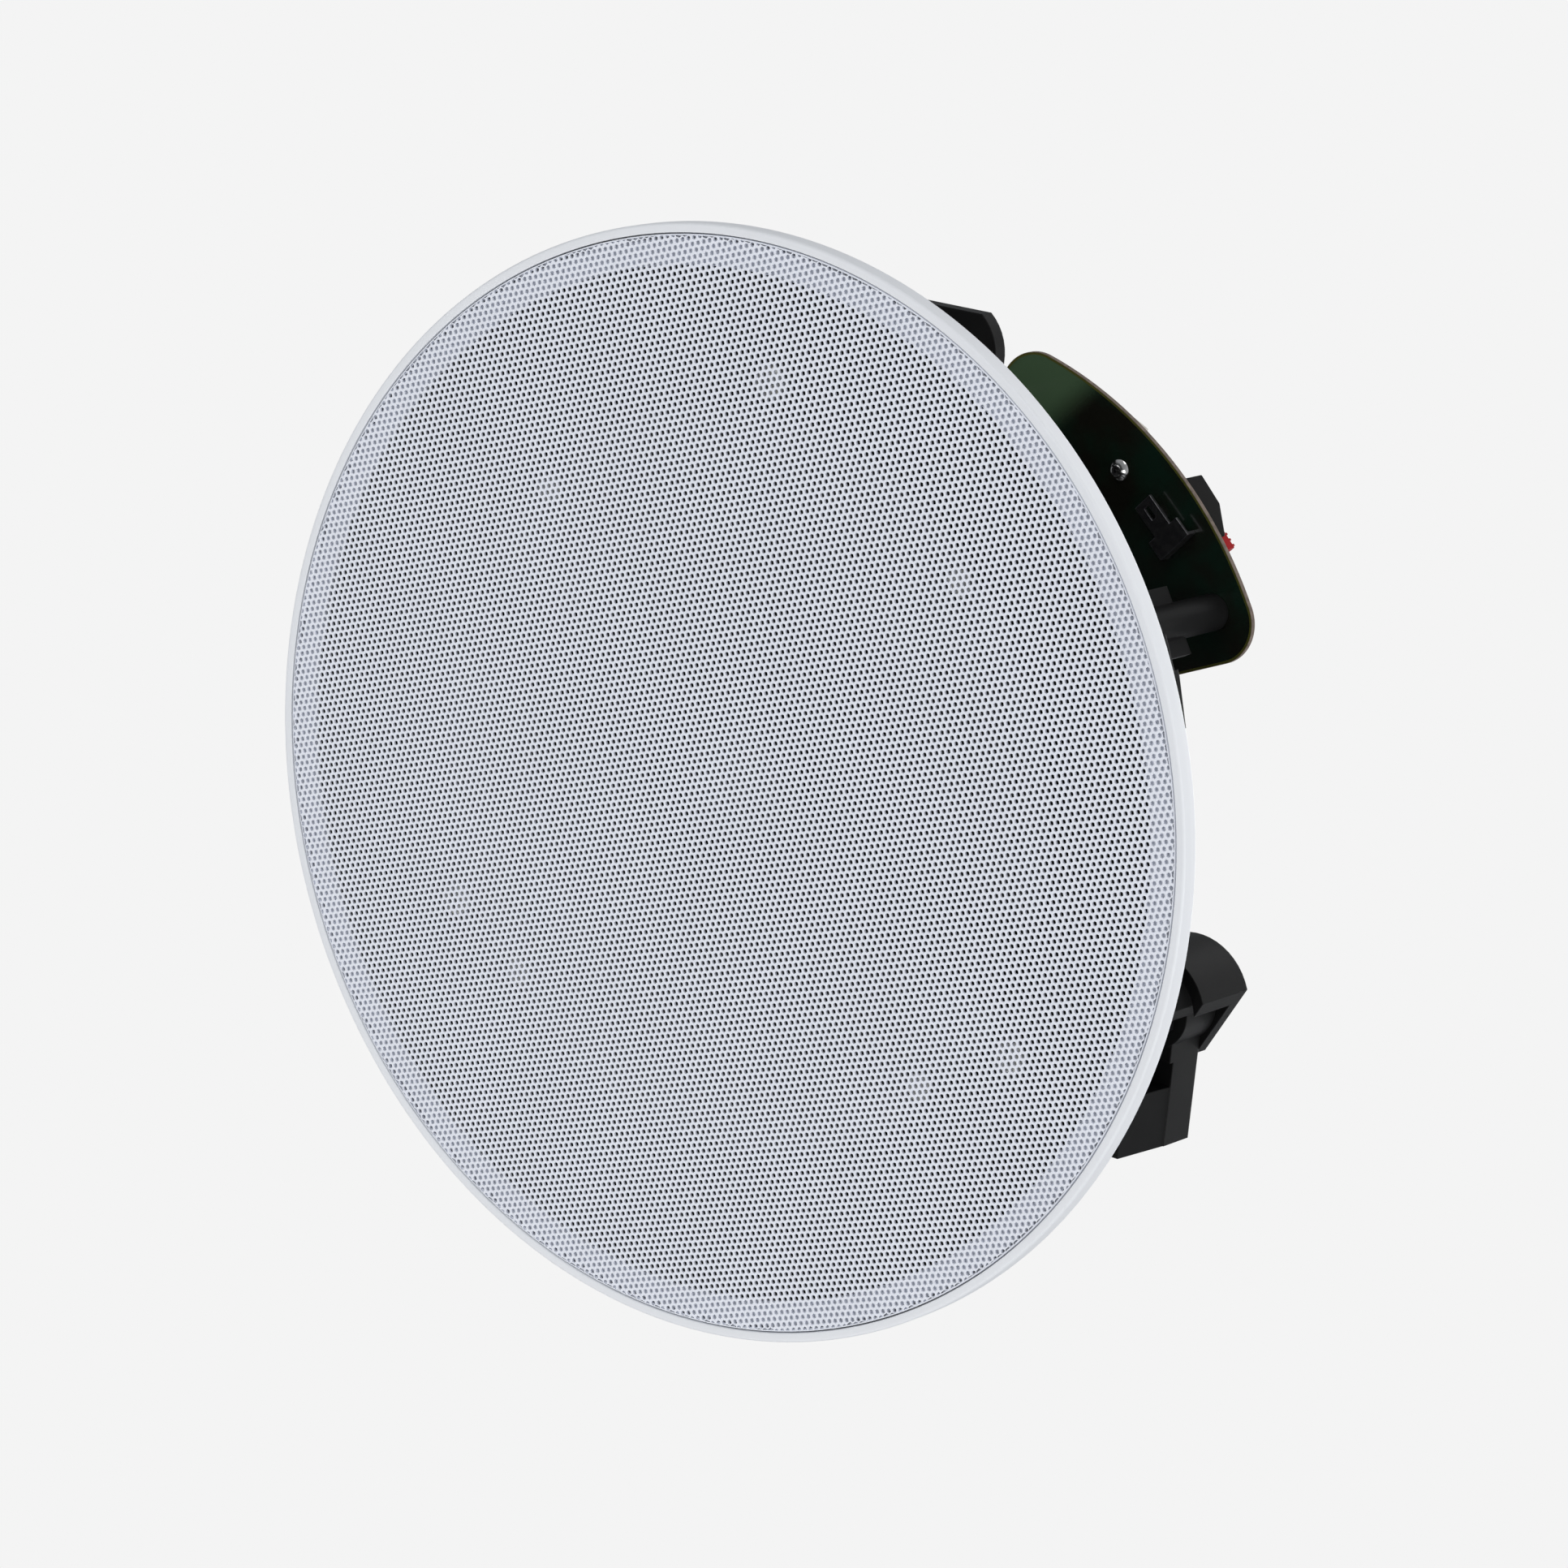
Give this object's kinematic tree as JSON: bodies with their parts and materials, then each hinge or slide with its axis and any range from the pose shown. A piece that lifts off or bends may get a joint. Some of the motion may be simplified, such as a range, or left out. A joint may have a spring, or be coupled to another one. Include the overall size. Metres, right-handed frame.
{
  "type": "in ceiling speaker",
  "caption": "Round in-ceiling speaker: perforated grille in a slim trim ring, black chassis with screw-drawn swing-out clamps, a woofer with a coaxial tweeter, and a rear crossover board.",
  "frame": {"origin": "centre of the bezel's rear face plane, the face that lies on the ceiling", "axes": "+Z up into the ceiling, so the grille looks down along -Z; +X is to the right and -Y is up in the picture"},
  "size_m": [0.2325, 0.2324, 0.0857],
  "materials": {
    "white_plastic": "satin moulded, off-white",
    "grille_paint": "powder-painted perforated sheet, off-white",
    "black_plastic": "satin moulded, black",
    "clamp_plastic": "satin moulded, black",
    "zinc_steel": "zinc plated",
    "nut_steel": "turned steel, black oxide",
    "basket_paint": "black paint",
    "gasket_foam": "closed-cell foam",
    "cone_fibre": "pressed fibre",
    "surround_rubber": "soft moulded rubber",
    "spider_cloth": "resin-treated cloth",
    "former_aluminium": "thin foil",
    "copper_wire": "enamelled copper wire",
    "plated_steel": "zinc plated",
    "ferrite": "ground ferrite",
    "dome_cloth": "coated silk",
    "board_green": "glossy green lacquer on glass-fibre board",
    "solder": "shiny solder",
    "tinned_brass": "dull tin plating",
    "terminal_plastic": "matte moulded, black",
    "red_plastic": "moulded, red",
    "bobbin_plastic": "moulded, dark",
    "capacitor_film": "dipped resin",
    "cement": "cast cement"
  },
  "bodies": {
    "housing": {"bezel_ring": "white_plastic", "grille": "grille_paint", "chassis": "black_plastic", "tweeter_bridge": "black_plastic", "tweeter_body": "black_plastic", "woofer_screws": "zinc_steel", "board_screws": "zinc_steel", "woofer_basket": "basket_paint", "woofer_gasket": "gasket_foam", "cone_surround": "surround_rubber", "spider": "spider_cloth", "inductor_winding": "copper_wire", "top_plate": "plated_steel", "pole_yoke": "plated_steel", "ring_magnet": "ferrite", "tweeter_dome": "dome_cloth", "crossover_board": "board_green", "solder_studs": "solder", "spade_tab": "tinned_brass", "terminal_block": "terminal_plastic", "inductor_bobbin": "bobbin_plastic", "film_capacitors": "capacitor_film", "power_resistor": "cement"},
    "cone": {"woofer_cone": "cone_fibre", "dust_cap": "cone_fibre", "voice_coil_former": "former_aluminium", "voice_coil": "copper_wire"},
    "red_lever": {"red_lever": "red_plastic"},
    "black_lever": {"black_lever": "terminal_plastic"},
    "clamp_screw_1": {"clamp_screw_1": "zinc_steel"},
    "clamp_nut_1": {"clamp_nut_1": "nut_steel"},
    "clamp_dog_1": {"clamp_dog_1": "clamp_plastic"},
    "clamp_screw_2": {"clamp_screw_2": "zinc_steel"},
    "clamp_nut_2": {"clamp_nut_2": "nut_steel"},
    "clamp_dog_2": {"clamp_dog_2": "clamp_plastic"},
    "clamp_screw_3": {"clamp_screw_3": "zinc_steel"},
    "clamp_nut_3": {"clamp_nut_3": "nut_steel"},
    "clamp_dog_3": {"clamp_dog_3": "clamp_plastic"}
  },
  "joints": [
    {"name": "screw_turn_1", "type": "hinge", "parent": "housing", "child": "clamp_screw_1", "pos_m": [0.06223, 0.05643, 0.05], "axis": [0, 0, -1], "range_deg": [0, 4752]},
    {"name": "nut_draw_1", "type": "slide", "parent": "housing", "child": "clamp_nut_1", "axis": [0, 0, -1], "range_m": [0, 0.03299]},
    {"name": "dog_swing_1", "type": "hinge", "parent": "clamp_nut_1", "child": "clamp_dog_1", "pos_m": [0.06223, 0.05643, 0.05], "axis": [0, 0, -1], "range_deg": [-28.5, 61.5]},
    {"name": "screw_turn_2", "type": "hinge", "parent": "housing", "child": "clamp_screw_2", "pos_m": [-0.07998, 0.02568, 0.05], "axis": [0, 0, -1], "range_deg": [-4032, 720]},
    {"name": "nut_draw_2", "type": "slide", "parent": "housing", "child": "clamp_nut_2", "axis": [0, 0, -1], "range_m": [-0.02799, 0.00499]},
    {"name": "dog_swing_2", "type": "hinge", "parent": "clamp_nut_2", "child": "clamp_dog_2", "pos_m": [-0.07998, 0.02568, 0.05], "axis": [0, 0, -1], "range_deg": [0, 90]},
    {"name": "screw_turn_3", "type": "hinge", "parent": "housing", "child": "clamp_screw_3", "pos_m": [0.01775, -0.0821, 0.05], "axis": [0, 0, -1], "range_deg": [-4032, 720]},
    {"name": "nut_draw_3", "type": "slide", "parent": "housing", "child": "clamp_nut_3", "axis": [0, 0, -1], "range_m": [-0.02799, 0.00499]},
    {"name": "dog_swing_3", "type": "hinge", "parent": "clamp_nut_3", "child": "clamp_dog_3", "pos_m": [0.01775, -0.0821, 0.05], "axis": [0, 0, -1], "range_deg": [0, 90]},
    {"name": "cone_travel", "type": "slide", "parent": "housing", "child": "cone", "axis": [0, 0, 1], "range_m": [-0.003, 0.003], "stiffness_N_per_m": 1500, "deforming": ["cone_surround", "spider"]},
    {"name": "red_lever_press", "type": "hinge", "parent": "housing", "child": "red_lever", "pos_m": [0.06993, -0.04002, 0.0774], "axis": [-0.8462, 0.5329, 0], "range_deg": [0, 15], "stiffness_Nm_per_rad": 0.02},
    {"name": "black_lever_press", "type": "hinge", "parent": "housing", "child": "black_lever", "pos_m": [0.06993, -0.04002, 0.0774], "axis": [-0.8462, 0.5329, 0], "range_deg": [0, 15], "stiffness_Nm_per_rad": 0.02}
  ],
  "couplings": [
    {"joint": "screw_turn_1", "follows": "nut_draw_1", "rad_per_m": 2513.3},
    {"joint": "screw_turn_2", "follows": "nut_draw_2", "rad_per_m": 2513.3},
    {"joint": "screw_turn_3", "follows": "nut_draw_3", "rad_per_m": 2513.3}
  ]
}
